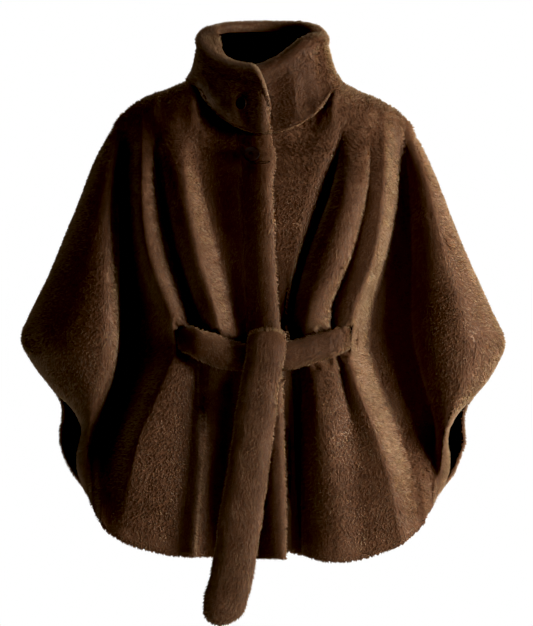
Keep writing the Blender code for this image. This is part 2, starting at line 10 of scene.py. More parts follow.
import bpy
import numpy as np
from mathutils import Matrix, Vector


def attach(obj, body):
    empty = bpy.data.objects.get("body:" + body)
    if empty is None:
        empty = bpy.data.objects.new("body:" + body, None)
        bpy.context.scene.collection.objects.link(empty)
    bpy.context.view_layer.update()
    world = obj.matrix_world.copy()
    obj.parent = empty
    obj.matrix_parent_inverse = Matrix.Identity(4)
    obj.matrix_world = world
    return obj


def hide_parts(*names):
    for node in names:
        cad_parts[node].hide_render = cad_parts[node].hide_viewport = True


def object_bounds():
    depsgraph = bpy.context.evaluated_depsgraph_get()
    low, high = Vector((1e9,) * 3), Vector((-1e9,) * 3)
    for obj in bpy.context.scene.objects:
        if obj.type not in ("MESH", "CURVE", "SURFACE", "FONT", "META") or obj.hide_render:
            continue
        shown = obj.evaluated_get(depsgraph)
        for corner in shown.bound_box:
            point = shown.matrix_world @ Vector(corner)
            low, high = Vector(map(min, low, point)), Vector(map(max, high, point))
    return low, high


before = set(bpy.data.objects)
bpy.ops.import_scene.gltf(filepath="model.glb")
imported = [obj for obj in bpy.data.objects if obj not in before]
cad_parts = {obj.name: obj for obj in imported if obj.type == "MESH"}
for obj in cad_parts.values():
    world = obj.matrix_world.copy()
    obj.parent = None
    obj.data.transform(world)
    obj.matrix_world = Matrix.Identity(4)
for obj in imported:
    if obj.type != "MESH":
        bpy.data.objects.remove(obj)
cad_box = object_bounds()
scene = bpy.context.scene

MM = 0.001

# Cloth.
ROWS = 90
ROW_CROWDING = 1.25  # of the rows, near the shoulder
FINER = 3  # columns to one of the tables'
BACKING = 2.5  # with its lining
EDGE_THICK = 4.0  # more at a turned edge
EDGE_SHARES = np.linspace(0.25, 1, 4) ** 2  # of that, row by row up to the edge
HEM_SHORT = 5.0  # from the backing's end to the tips
GAP = 0.3  # between two pieces at a seam
SEAM_OPEN = 1.5  # a lip farther off the side seam is free
SHOULDER_TURN = 70.0  # drop over which the cloth turns down
TOP_ROWS = 20  # that the collar can stand on
NECK_WIDE = 92.0  # half-width of the body's neck hole
SWAY = 2.0  # of slight waves in the cloth
CREASE_GAPS = {"crease": 4.5, "crease a": 4.0}  # half-width of an open bottom
TURN_ENDS = {"crease b": (-430.0, -500.0), "fold": (-500.0, -560.0)}  # where a turn fades out

# Belt.
# Half of the height pressed flat, by distance from the middle.
BELT_HALVES = ((0, 20), (25, 23), (50, 25), (80, 25), (100, 22), (127, 18.5))
BELT_DEPTH = -147.5  # of its inner face in the middle
BELT_TURN = 28.0  # back, up to the slits
BELT_LEVEL = -386.0  # of its middle
BELT_LIFT = 27.0  # up to the slits
SWELL = 50.0  # of the rolls over and under it
SWELL_OVER = 35.0  # height this takes
CLEAR = 0.4  # between cloth and what it lies on
SLIT_X = 126.5  # belt slits, from the middle
SLIT_LEVEL = -359.0
SLIT_AT = 123.0  # middle of the open slit
SLIT_HALF = (2.6, 12)  # half its width and height
SLIT_BARE = (3.0, 16)  # the same of what has no pile
SLIT_LIP = 9.0  # rise of its outer lip
RING_STEP = 5.0
STRAP_SIDES = 32
TUBE_BACKING = 1.5

# Pile.
PILE_HIGH = 3.0  # as it lies
PILE_LONG = 4.6  # of one tuft
PILE_LEAN = 40.0  # degrees, down the cloth
PILE_SPACING = 2.6
PILE_WIDE = 3.2  # of a tuft at its root
PILE_LEAST = 0.04  # cover that a tuft needs
ROOT_DEEP = 1.0  # of its root in the backing
NAP_WAVES = ((38.0, 0.5), (8.0, 0.7))  # swirls: size and strength
CLUMP = 6.0  # between the middles of clumps
CLUMPING = 0.18  # how far tips lean to its middle
STRAY = 0.45  # random share in a tuft's place
ROW_STEP = 0.6180339887  # these steps spread numbers evenly
PLACE_STEPS = (0.7548776662, 0.5698402910)
UV_WIDE = 0.006  # of a tuft in its map
TUFT_FACES = ((0, 1, 3), (1, 2, 3), (2, 0, 3), (0, 2, 1))
EDGE_LEAN = 56.0  # of the pile that covers a cut edge
EDGE_CLUMPING = 0.08
HEM_COVER = 0.75
FRONT_COVER = 0.8
SLIT_COVER = 0.7

# Collar.
COLLAR_SIDES = 48
COLLAR_HALF = 100.0  # half-width of the neck line
COLLAR_DEEP = (90.0, 80.0)  # its reach to front and back
COLLAR_LAP = 11.5  # its ends, out of and into the neck line
WALL_MIDDLE = 10.0  # in from the neck line
OUTER = -9  # the outer face lies beyond this
RIM_ROLL = 6.0  # thickness that the rolled rim adds
LINED_DEPTH = 14.0  # below the rim

# Buttons: place across, height, and radius of the bare cloth under each.
BUTTON_SPOTS = {"front_band": (-18.5, -90.0, 12.0), "collar": (-33.8, -17.0, 9.0)}
BUTTON_STEPS = ((0.09, 0), (0.07, 0.32), (0.18, 0.05))  # insets, of its width; sinks, of its thickness

# Colours and light.
ROOT, MIDDLE, TIP = "#4d3424", "#583e2d", "#684c39"
BLACK = 0.0105  # level shown as black
AMBIENT = 0.016
DISTANCE = 18.0  # of the camera, in metres
TILT = math.radians(0.6)
VIEW_HIGH = 913.96  # height of the view

# Heights at which every line of cloth below is given.
HEIGHTS = (-36, -139, -241, -328, -365, -409, -504, -620, -679)

# One row per line of cloth down a front, from the front edge round to the arm: how the section passes it
# ("turn": runs front to back, as in a crease; "flat": side to side), columns of cloth from it to the next,
# distance from the middle and depth at each height (front is negative).
RIGHT_LINES = (
    ("edge", "turn", 2, (9, 15, 18, 24, 27, 28, 31, 34, 34),
     (-97, -121, -134, -138, -138, -140, -150, -159, -162)),
    ("band", "flat", 2, (-4, 1, 4, 10, 12, 13, 19, 23, 24),
     (-104, -130, -142, -146, -146, -149, -159, -167, -170)),
    ("seam", "turn", 2, (-36, -34, -31, -27, -26, -24, -18, -12, -9),
     (-91, -114, -127, -132, -133, -134, -143, -149, -151)),
    ("chest", "flat", 3, (-95, -88, -62, -43, -38, -42, -52, -60, -62),
     (-72, -92, -115, -122, -130, -112, -97, -98, -100)),
    ("roll a", "flat", 3, (-126, -114, -95, -69, -64, -74, -76, -80, -82),
     (-68, -126, -148, -154, -142, -122, -102, -100, -102)),
    ("crease", "turn", 3, (-157, -150, -129, -100, -90, -90, -88, -96, -100),
     (-62, -82, -94, -106, -118, -113, -116, -124, -127)),
    ("roll b", "flat", 3, (-177, -179, -167, -134, -124, -140, -180, -200, -205),
     (-54, -108, -130, -134, -126, -139, -148, -150, -152)),
    ("valley", "flat", 2, (-200, -207, -207, -192, -184, -196, -226, -238, -240),
     (-36, -22, -22, -30, -38, -40, -64, -140, -146)),
    ("fold", "turn", 2, (-205, -211, -212, -212, -213, -219, -249, -250, -249),
     (-28, -50, -74, -88, -92, -88, -70, -100, -112)),
    ("wing", "flat", 4, (-213, -228, -234, -238, -240, -243, -256, -258, -255),
     (-26, -76, -103, -118, -120, -112, -84, -66, -75)),
)
LEFT_LINES = (
    ("lap", "turn", 2, (-21, -15, -11, -5, -2, -1, 2, 5, 5),
     (-82, -106, -119, -123, -123, -126, -135, -144, -147)),
    ("bib", "flat", 2, (17, 27, 30, 31, 33, 34, 37, 39, 39),
     (-80, -114, -125, -127, -127, -122, -126, -134, -138)),
    ("chest", "flat", 2, (91, 62, 44, 34, 37, 40, 43, 46, 47),
     (-74, -114, -126, -128, -129, -122, -122, -130, -134)),
    ("crease a", "turn", 3, (112, 93, 57, 37, 40, 47, 50, 52, 53),
     (-70, -92, -104, -112, -122, -112, -112, -128, -134)),
    ("roll a", "flat", 3, (128, 122, 100, 69, 71, 78, 90, 103, 106),
     (-68, -132, -152, -156, -140, -147, -163, -169, -170)),
    ("crease b", "turn", 3, (153, 150, 126, 97, 101, 112, 131, 146, 149),
     (-64, -114, -130, -122, -122, -134, -153, -161, -163)),
    ("roll b", "flat", 3, (174, 173, 159, 128, 120, 130, 165, 192, 199),
     (-60, -118, -140, -142, -128, -146, -158, -160, -160)),
    ("valley", "flat", 2, (196, 203, 184, 158, 156, 168, 202, 234, 240),
     (-36, -24, -22, -22, -24, -30, -46, -126, -134)),
    ("fold", "turn", 2, (202, 210, 214, 214, 217, 227, 249, 246, 246),
     (-30, -29, -32, -32, -34, -38, -46, -104, -114)),
    ("wing", "flat", 4, (210, 238, 258, 278, 284, 286, 262, 252, 250),
     (-26, -64, -84, -93, -95, -93, -80, -68, -80)),
)
# The back, from the middle out to each arm.
BACK_MIDDLE = ("middle", "flat", 2, (0, 0, 0, 2, 2, 3, 4, 5, 5),
               (78, 110, 124, 131, 134, 139, 152, 166, 170))
BACK_RIGHT = (
    ("trough", "flat", 2, (-60, -58, -60, -62, -62, -64, -66, -70, -70),
     (68, 101, 113, 118, 121, 125, 135, 147, 151)),
    ("ridge", "flat", 2, (-110, -112, -116, -122, -124, -126, -128, -130, -130),
     (50, 102, 120, 128, 131, 135, 149, 163, 167)),
    ("arm pit", "flat", 2, (-160, -162, -168, -180, -182, -180, -172, -166, -165),
     (34, 72, 84, 90, 92, 95, 108, 128, 134)),
    ("arm", "flat", 3, (-205, -222, -240, -262, -265, -257, -232, -212, -208),
     (24, 62, 80, 88, 88, 88, 88, 98, 104)),
)
BACK_LEFT = (
    ("trough", "flat", 2, (58, 60, 64, 68, 68, 68, 70, 72, 72),
     (68, 100, 112, 118, 120, 124, 136, 149, 153)),
    ("ridge", "flat", 2, (108, 116, 122, 126, 127, 128, 130, 132, 132),
     (50, 104, 122, 127, 130, 134, 147, 160, 165)),
    ("arm pit", "flat", 2, (158, 166, 174, 182, 183, 182, 175, 168, 167),
     (34, 70, 82, 90, 92, 96, 110, 130, 136)),
    ("arm", "flat", 3, (204, 222, 242, 262, 264, 257, 232, 210, 206),
     (24, 62, 82, 88, 88, 88, 88, 98, 104)),
)


def joined(*rows):
    """Rows of a side table where the lips are sewn together, from heights and distances."""
    return [(z, x, x, 0, 0) for z, x in rows]


# The outermost line of cloth, shoulder to hem: height, distance out of the front's lip and of the back's
# lip, and how far each lip stands from the side seam's plane. The lips part where the arm comes out.
RIGHT_SIDE = (
    *joined(
        (-47, -220), (-66, -231), (-95, -246), (-124, -258), (-159, -271), (-212, -293), (-264, -314),
        (-299, -331), (-334, -348), (-350, -355), (-362, -356), (-373, -353), (-387, -345), (-404, -334),
        (-422, -320),
    ),
    (-441, -304, -306, -2, 1), (-457, -286, -298, -14, 6), (-474, -273, -297, -28, 14),
    (-492, -267, -301, -36, 20), (-510, -270, -301, -38, 22), (-527, -274, -297, -34, 20),
    (-545, -275, -289, -24, 12), (-562, -271, -279, -10, 5), (-575, -267, -269, -2, 1),
    *joined(
        (-588, -262),
    ),
)
LEFT_SIDE = (
    *joined(
        (-51, 217), (-80, 231), (-110, 245), (-142, 258), (-177, 271), (-212, 285), (-247, 300), (-282, 316),
        (-317, 332), (-340, 343), (-354, 350), (-367, 352), (-381, 349), (-395, 342), (-422, 326),
    ),
    (-443, 308, 309, -1, 1), (-458, 293, 299, -9, 4), (-474, 279, 294, -21, 11), (-492, 270, 294, -32, 17),
    (-510, 268, 296, -36, 20), (-530, 271, 290, -34, 18), (-548, 271, 283, -22, 11), (-563, 267, 275, -9, 4),
    (-576, 263, 265, -2, 1),
    *joined(
        (-588, 257),
    ),
)
# Top edge: distance from the middle, height.
FRONT_NECK = ((0, -60), (24, -58), (48, -48), (72, -31), (86, -11), (92, 3), (97, 12), (104, 19))
BACK_NECK = ((0, 6), (60, 9), (92, 11), (104, 19))
RIGHT_SHOULDER = ((123, 12), (141, 4), (158, -1), (176, -9), (193, -19), (211, -35), (220, -47))
LEFT_SHOULDER = ((122, 9), (139, 1), (157, -7), (174, -15), (192, -25), (208, -40), (217, -51))
# Hem: distance across, height.
RIGHT_HEM = (
    (-262, -588), (-246, -622), (-228, -642), (-211, -654), (-193, -663), (-176, -667), (-158, -672),
    (-141, -676), (-106, -679), (-60, -680), (34, -681),
)
LEFT_HEM = (
    (-1, -662), (36, -668), (45, -673), (69, -681), (87, -685), (122, -685), (139, -682), (157, -677),
    (192, -664), (210, -654), (227, -638), (245, -610), (257, -588),
)
BACK_HEM = (
    (-262, -588), (-252, -606), (-225, -634), (-170, -662), (-100, -677), (0, -682), (100, -677),
    (170, -661), (222, -634), (249, -606), (257, -588),
)
# Stand collar: angle round the neck from the front towards the wearer's right, height of the rim.
COLLAR_RIM = (
    (-5, 20), (-2, 34), (3, 40), (15, 43), (30, 47), (50, 57), (70, 72), (90, 86), (110, 97), (140, 104),
    (180, 106), (220, 105), (245, 100), (270, 89), (300, 86), (317, 80), (330, 68), (345, 54), (360, 45),
    (376, 38),
)
# Section of the wall: outwards from the neck line, share of the height.
COLLAR_SECTION = (
    (6, 0), (6, 0.12), (5, 0.35), (3, 0.6), (2, 0.86), (-3, 0.97), (-11, 1.0), (-17, 0.96), (-21, 0.82),
    (-21, 0.5), (-20, 0.2), (-20, 0), (-10, 0),
)
# Hollows pressed into its outer face: angle, share of the height, reach of each, depth.
COLLAR_HOLLOWS = (
    (20, 0.42, 7, 0.22, 2.5), (52, 0.3, 14, 0.3, 6), (350, 0.42, 20, 0.45, 8), (322, 0.3, 9, 0.35, 4),
    (300, 0.5, 7, 0.4, 3),
)
# Belt: x, y, z of the middle, half the width, half the thickness.
BELT_RIGHT = (
    (-119, -96, -359, 21, 5.5), (-119, -110, -359, 21, 5.5), (-119, -119.5, -359, 21, 5.5),
    (-116, -128, -359, 21, 5.5), (-109, -133.8, -359.5, 21.3, 6), (-100, -141, -363.5, 22.5, 6.3),
    (-80, -146.3, -371, 24.5, 6.5), (-50, -152, -382, 24.5, 6.5), (-25, -154.6, -386, 20.5, 6.5),
    (-2.4, -155, -387, 18, 6.5),
)
BELT_LEFT = (
    (119, -96, -359, 21, 5.5), (119, -110, -359, 21, 5.5), (119, -119.5, -359, 21, 5.5),
    (116, -128, -359.5, 21, 5.5), (109, -133.8, -361, 21.3, 6), (100, -141, -364.5, 22, 6.3),
    (80, -146.3, -370, 22.5, 6.5), (50, -152, -379, 23.2, 6.5), (25, -154.6, -385.5, 21.5, 6.5),
    (2.4, -155, -387, 18, 6.5),
)
BELT_TAIL = (
    (4, -154.3, -354.8, 22, 5), (4, -161.5, -352.8, 26, 5.5), (4, -168.5, -355.8, 29.5, 6.8),
    (3.5, -172, -366.5, 31, 8), (1, -173.5, -388, 30, 8.5), (-5, -174.5, -410, 29, 9),
    (-9, -175, -440, 30, 9), (-11.5, -175, -462, 31, 9), (-16, -174, -495, 31.5, 9),
    (-25, -175.5, -556, 32, 9), (-36, -178, -630, 33, 8.5), (-43, -179.5, -680, 33, 8.5),
    (-51.5, -180, -720, 33.5, 8.5), (-58, -180, -741, 33, 8), (-62, -180, -758, 28, 7.5),
    (-63, -180, -767, 21, 6), (-63, -180, -772, 11, 4),
)
BELT_UNDER_TAIL = (
    (9, -157, -413, 26, 4.8), (7, -157, -420, 20, 5.8), (3, -157.5, -432, 18, 5.8),
    (-1, -158.5, -447, 16, 5.3), (-4, -159.2, -459, 12, 4),
)
# Inside the back, as far as the middle.
BELT_INSIDE = (
    (-127, -95.2, -359, 21, 5.5), (-127.5, -80, -359, 21, 5.5), (-134, -35, -359, 24, 6),
    (-137, 10, -358, 27, 6.5), (-128, 50, -356, 29, 6.5), (-100, 79, -355, 30, 6.5),
    (-52, 97, -354, 30, 6.5), (0, 103, -354, 30, 6.5),
)
BELT_INSIDE += tuple((-x, *row) for x, *row in BELT_INSIDE[-2::-1])


def hermite(knots, values, slope, at):
    """The values on the cubic line through the knots with the given slopes."""
    i = np.clip(np.searchsorted(knots, at) - 1, 0, len(knots) - 2)
    h = knots[i + 1] - knots[i]
    t = (at - knots[i]) / h
    return (
        values[i] * (2 * t**3 - 3 * t**2 + 1)
        + values[i + 1] * (3 * t**2 - 2 * t**3)
        + h * slope[i] * (t**3 - 2 * t**2 + t)
        + h * slope[i + 1] * (t**3 - t**2)
    )


def smooth(levels, values, at):
    """The values on a smooth line through the levels, level beyond both ends and never past its points."""
    levels = np.asarray(levels, float)
    order = np.argsort(levels)
    s, v = levels[order], np.asarray(values, float)[order]
    rise = np.diff(v) / np.diff(s)
    slope = np.gradient(v, s)
    slope[0] = slope[-1] = 0.0
    slope[1:-1] = np.where(rise[:-1] * rise[1:] <= 0, 0.0, slope[1:-1])
    return hermite(s, v, slope, np.clip(at, s[0], s[-1]))


def even(values, at):
    """Straight lines between the points of a two-column table."""
    x, y = np.asarray(values, float).T
    return np.interp(at, x, y)


def belt_face(x):
    """Depth of the belt's inner face."""
    return BELT_DEPTH + BELT_TURN * np.abs(x / SLIT_X) ** 2.4


def belt_level(x):
    """Height of the belt's middle."""
    return BELT_LEVEL + BELT_LIFT * np.minimum(np.abs(x / SLIT_X), 1.0) ** 1.2


def pressed(x, y, z):
    """Holds the cloth behind the belt, with the rolls swelling out over and under it."""
    off = np.abs(z - belt_level(x))
    swell = np.clip((off - even(BELT_HALVES, abs(x))) / SWELL_OVER, 0, 1)
    limit = belt_face(x) + GAP + CLEAR - SWELL * np.sqrt(1 - (1 - swell) ** 2)
    limit = limit - 200.0 * np.clip((np.abs(x) - SLIT_X - 4.0) / 12.0, 0, 1)
    return np.maximum(y, limit)


def crease_gap(row, z):
    """Half-width of the open gap at the bottom of a crease at heights z."""
    opened = np.clip((-50.0 - z) / 60.0, 0, 1)
    return CREASE_GAPS.get(row[0], 0.0) * opened * np.clip((z + 560.0) / 120.0, 0, 1)


def turning(row, z):
    """How far a line turns the cloth front to back at heights z: 1 in a crease, 0 where it has faded out."""
    if row[1] == "flat":
        return np.zeros_like(z)
    fade_from, fade_to = TURN_ENDS.get(row[0], (-900.0, -1000.0))
    share = 0.3 if row[0] == "seam" else 1.0
    started = np.clip((-28.0 - z) / 50.0, 0, 1)
    return share * started * np.clip((z - fade_to) / (fade_from - fade_to), 0, 1)


def line_at(row, way, z):
    """Distance across, depth and turning of a named line at heights z, on one side of its gap."""
    x = smooth(HEIGHTS, row[3], z) + way * crease_gap(row, z)
    return x, smooth(HEIGHTS, row[4], z), turning(row, z)


def section(lines, side, lip, u, z):
    """Where the cloth is on line number u (whole numbers are the named lines) at heights z."""
    z = np.asarray(z, float)
    i = int(min(math.floor(u), len(lines) - 1))
    t = u - i
    out = math.copysign(1.0, side[0][1])
    x0, y0, a = line_at(lines[i], out, z)
    if i + 1 < len(lines):
        x1, y1, b = line_at(lines[i + 1], -out, z)
    else:
        table = np.asarray(side, float)
        x1 = smooth(table[:, 0], table[:, 1 + lip], z)
        y1 = smooth(table[:, 0], table[:, 3 + lip], z)
        b = np.ones_like(z)
    quick, slow = math.sin(math.pi * t / 2), 1 - math.cos(math.pi * t / 2)
    ease = (1 - math.cos(math.pi * t)) / 2
    across = a * b * ease + a * (1 - b) * slow + (1 - a) * b * quick + (1 - a) * (1 - b) * t
    deep = a * b * t + a * (1 - b) * quick + (1 - a) * b * slow + (1 - a) * (1 - b) * ease
    return x0 + (x1 - x0) * across, y0 + (y1 - y0) * deep


def neck_depth(x, deep, lapped=0.0):
    """Depth of the neck hole's edge, zero from the neck point outwards, with what a lap adds."""
    rounded = np.sqrt(np.clip(1 - (x / NECK_WIDE) ** 2, 0, 1))
    return deep * rounded + lapped * np.clip(1 - abs(x) / 60.0, 0, 1)


def scatter(cells, seed):
    """A fixed random vector from -1 to 1 for each whole-numbered cell."""
    mixed = cells.astype(np.int64) @ np.array([73856093, 19349663, 83492791]) + seed * 40503
    mixed = mixed.astype(np.uint64)
    values = []
    for k in range(3):
        h = mixed + np.uint64(0x9E3779B97F4A7C15 * (k + 1) & 0xFFFFFFFFFFFFFFFF)
        h = (h ^ (h >> np.uint64(30))) * np.uint64(0xBF58476D1CE4E5B9)
        h = (h ^ (h >> np.uint64(27))) * np.uint64(0x94D049BB133111EB)
        h = h ^ (h >> np.uint64(31))
        values.append((h >> np.uint64(11)).astype(float) / 2**52 - 1.0)
    return np.stack(values, axis=-1)


def drift(points, size, seed):
    """Smooth random vectors from -1 to 1 that change over about size millimetres."""
    cell = points / size
    low = np.floor(cell)
    part = cell - low
    part = part * part * (3 - 2 * part)
    total = np.zeros_like(points)
    for corner in itertools.product((0, 1), repeat=3):
        share = np.prod(np.where(corner, part, 1 - part), axis=-1)
        total += share[..., None] * scatter(low + np.array(corner), seed)
    return total


def panel(lines, side, lip, top, neck, hem):
    """The outer face of one panel, as a grid of points in rows from the neck down to the hem."""
    columns = []
    last = len(lines)
    stations = [i + k / (row[2] * FINER) for i, row in enumerate(lines) for k in range(row[2] * FINER)]
    for u in [*stations, last]:
        x_top = float(section(lines, side, lip, u, HEIGHTS[0])[0])
        if u == last:
            z_top, z_end = float(side[0][0]), float(side[-1][0])
        else:
            z_top = float(even(top, abs(x_top)))
            z_end = -620.0
            for _ in range(8):
                z_end = float(even(hem, float(section(lines, side, lip, u, z_end)[0])))
        z_end += HEM_SHORT
        z = z_top + (z_end - z_top) * np.linspace(0, 1, ROWS) ** ROW_CROWDING
        x, y = section(lines, side, lip, u, z)
        if lip == 0:
            off_x, off_z = (abs(x) - SLIT_AT - 7.0) / 5.0, (z - SLIT_LEVEL) / 20.0
            y = pressed(x, y, z) - SLIT_LIP * np.exp(-(off_x**2) - off_z**2)
        start = float(neck(x_top)) if u != last else 0.0
        turn = np.clip((z_top - z) / SHOULDER_TURN, 0, 1)
        y = start + (y - start) * np.sqrt(1 - (1 - turn) ** 2)
        columns.append(np.stack([x, y, z], axis=1))
    grid = np.stack(columns, axis=1)
    inside = np.minimum(1.0, abs(grid[..., 1:2]) / 40.0)
    grid[..., 1:2] += SWAY * inside * drift(grid, 75.0, 7)[..., 1:2]
    return grid


def unit(vectors):
    """The vectors at a length of 1."""
    return vectors / np.maximum(np.linalg.norm(vectors, axis=-1, keepdims=True), 1e-9)


def normals_of(grid, way):
    """Unit normals of a grid, outwards for way 1 or -1."""
    return unit(np.cross(np.gradient(grid, axis=0), np.gradient(grid, axis=1)) * way)


def area_of(grid):
    """Area of each cell of a grid."""
    a, b, c, d = grid[:-1, :-1], grid[:-1, 1:], grid[1:, 1:], grid[1:, :-1]
    return sum(np.linalg.norm(half, axis=2) for half in (np.cross(b - a, d - a), np.cross(b - c, d - c))) / 2


def clump_centres(points, size, seed):
    """The nearest clump of pile to each point."""
    low = np.floor(points / size)
    best = np.full(len(points), np.inf)
    found = points.copy()
    for step in itertools.product((-1, 0, 1), repeat=3):
        cell = low + np.array(step)
        centre = (cell + 0.5 + STRAY * scatter(cell, seed)) * size
        far = ((centre - points) ** 2).sum(axis=1)
        nearer = far < best
        best[nearer] = far[nearer]
        found[nearer] = centre[nearer]
    return found


def put_mesh(name, points, faces, slots, inner=0):
    """A mesh object from points in millimetres and faces of one kind; its last faces take the second slot."""
    data = bpy.data.meshes.new(name)
    faces = np.asarray(faces, np.int32)
    data.vertices.add(len(points))
    data.vertices.foreach_set("co", (np.asarray(points) * MM).astype(np.float32).ravel())
    data.loops.add(faces.size)
    data.loops.foreach_set("vertex_index", faces.ravel())
    data.polygons.add(len(faces))
    data.polygons.foreach_set("loop_start", np.arange(0, faces.size, faces.shape[1], dtype=np.int32))
    for slot in slots:
        data.materials.append(slot)
    if inner:
        second = np.arange(len(faces)) >= len(faces) - inner
        data.polygons.foreach_set("material_index", second.astype(np.int32))
    data.update(calc_edges=True)
    data.shade_smooth()
    made = bpy.data.objects.new(name, data)
    scene.collection.objects.link(made)
    return made


def wall(name, outer, inner, way, open_=None):
    """A closed wall between an outer and an inner grid, less the cells marked open."""
    rows, columns = outer.shape[:2]
    count = rows * columns
    index = np.arange(count).reshape(rows, columns)
    a, b, c, d = index[:-1, :-1], index[:-1, 1:], index[1:, 1:], index[1:, :-1]
    kept = np.ones(a.shape, bool) if open_ is None else ~open_
    face = np.stack([a, d, c, b], axis=-1)[kept][:, ::way]
    edges = {}
    for quad in face.tolist():
        for p, q in zip(quad, quad[1:] + quad[:1]):
            if edges.pop((q, p), None) is None:
                edges[p, q] = True
    rim = np.array([(q, p, p + count, q + count) for p, q in edges])
    faces = np.concatenate([face, rim, face[:, ::-1] + count])
    used = np.unique(faces)
    renamed = np.zeros(2 * count, int)
    renamed[used] = np.arange(len(used))
    points = np.concatenate([outer.reshape(-1, 3), inner.reshape(-1, 3)])[used]
    # The inner faces take the lining, whose near black colour is painted shade.
    return put_mesh(name, points, renamed[faces], (knit, lining_painted_shade), inner=len(face))


def tufts(grid, normals, cover, seed, lean=PILE_LEAN, spacing=PILE_SPACING, clumping=CLUMPING):
    """Tufts of pile over a grid, lying down its rows: corners, shading normals and shade of each."""
    random = np.random.default_rng(seed)
    there = (cover[:-1, :-1] + cover[1:, 1:] + cover[:-1, 1:] + cover[1:, :-1]) / 4 > PILE_LEAST
    due = np.cumsum(area_of(grid) * there / spacing**2, axis=1)
    due = due + (np.arange(len(due))[:, None] * ROW_STEP) % 1.0
    count = np.diff(np.floor(due), axis=1, prepend=0.0).astype(int) * there
    rows, columns = np.divmod(np.repeat(np.arange(count.size), count.ravel()), count.shape[1])
    order = np.arange(len(rows))
    stray = STRAY * random.random((len(order), 2))
    s, t = (((order * step + stray[:, k]) % 1.0)[:, None] for k, step in enumerate(PLACE_STEPS))

    def on(field):
        near = field[rows, columns] * (1 - s) + field[rows, columns + 1] * s
        far = field[rows + 1, columns] * (1 - s) + field[rows + 1, columns + 1] * s
        return near * (1 - t) + far * t

    at = on(grid)
    out = unit(on(normals))
    nap = on(unit(np.gradient(grid, axis=0)))
    for k, (size, strength) in enumerate(NAP_WAVES):
        nap = nap + strength * drift(at, size, seed + k)
    nap = unit(nap - out * (nap * out).sum(axis=1, keepdims=True))
    aside = np.cross(out, nap)
    high = on(cover[..., None])
    chance = random.random((len(at), 4))
    # Length, lean and shade vary and drift.
    long = PILE_LONG * high * (0.86 + 0.28 * chance[:, 0:1])
    wave = 11 * drift(at, 16.0, seed + 2)[:, :1]
    angle = np.radians(lean + wave + 8 * (chance[:, 1:2] - 0.5))
    tip = at + long * (out * np.cos(angle) + nap * np.sin(angle))
    centre = clump_centres(at, CLUMP, seed + 3)
    pull = centre - at
    pull -= out * (pull * out).sum(axis=1, keepdims=True)
    tip += clumping * pull
    near = np.linalg.norm(pull, axis=1, keepdims=True) / CLUMP
    tip += out * (0.3 - 0.7 * near) * high
    corners = []
    leaning = []
    for k in range(3):
        turn = chance[:, 2:3] * math.tau + k * math.tau / 3
        edge = nap * np.cos(turn) + aside * np.sin(turn)
        corners.append(at - out * ROOT_DEEP + edge * PILE_WIDE / 2)
        leaning.append(out + 0.25 * edge)
    leaning.append(out + 0.12 * nap)
    shade = 0.5 + 0.2 * drift(at, 30.0, seed + 4)[:, :1]
    shade = shade + 0.22 * scatter(np.floor(centre), seed)[:, :1]
    shade = np.clip(shade + 0.12 * (chance[:, 3:4] - 0.5), 0.02, 0.97)
    return np.stack([*corners, tip], axis=1), unit(np.stack(leaning, axis=1)), shade


def pile(name, parts):
    """The pile of one piece: closed three-sided spikes that shade as the cloth under them does."""
    points, shading, shade = (np.concatenate(all_) for all_ in zip(*parts))
    first = np.arange(len(points))[:, None] * 4
    faces = (first[:, None] + np.array(TUFT_FACES)[None]).reshape(-1, 3)
    made = put_mesh(name, points.reshape(-1, 3), faces, (plush,))
    normal = made.data.attributes.new("custom_normal", "FLOAT_VECTOR", "POINT")
    normal.data.foreach_set("vector", shading.astype(np.float32).ravel())
    places = np.zeros((len(points), 4, 3, 2))
    places[..., 0] = shade[:, :, None]
    for f in range(3):
        places[:, f, 1, 0] += UV_WIDE
        places[:, f, 2, 0] += UV_WIDE / 2
        places[:, f, 2, 1] = 0.5
    places[:, 3, 1, 0] += UV_WIDE
    places[:, 3, 2, 1] = 0.01
    made.data.uv_layers.new(name="OFBake").data.foreach_set("uv", places.astype(np.float32).ravel())
    return made


def hex_colour(code):
    """An sRGB hex colour as the linear colour that a shader takes."""
    parts = [int(code[i : i + 2], 16) / 255 for i in (1, 3, 5)]
    return (*[p / 12.92 if p <= 0.04045 else ((p + 0.055) / 1.055) ** 2.4 for p in parts], 1.0)


def add_node(tree, kind, settings, links=()):
    """Adds a node, sets its properties and unlinked sockets, and links its other sockets."""
    made = tree.nodes.new(kind)
    for key, value in settings.items():
        if isinstance(key, str) and key in made.bl_rna.properties:
            setattr(made, key, value)
        else:
            made.inputs[key].default_value = value
    for key, source in dict(links).items():
        tree.links.new(source, made.inputs[key])
    return made


def new_material(name, roughness, shine, colour=None, **settings):
    """A new material, with its nodes and its shader."""
    made = bpy.data.materials.new(name)
    made.use_nodes = True
    shader = made.node_tree.nodes["Principled BSDF"]
    settings = {"Roughness": roughness, "Specular_IOR_Level": shine, **settings}
    if colour:
        settings["Base_Color"] = hex_colour(colour)
    for key, value in settings.items():
        shader.inputs[key.replace("_", " ")].default_value = value
    return made, made.node_tree, shader


def add_pattern(tree, kind, size, **settings):
    """Adds a texture in the piece's own place, with marks of about size millimetres."""
    place = add_node(tree, "ShaderNodeTexCoord", {})
    settings["Scale"] = 1 / (size * MM)
    return add_node(tree, "ShaderNodeTex" + kind, settings, {"Vector": place.outputs["Object"]})


def add_relief(tree, shader, height, strength, deep):
    """Lets a texture stand out by up to deep millimetres."""
    settings = {"Strength": strength, "Distance": deep * MM}
    relief = add_node(tree, "ShaderNodeBump", settings, {"Height": height})
    tree.links.new(relief.outputs["Normal"], shader.inputs["Normal"])


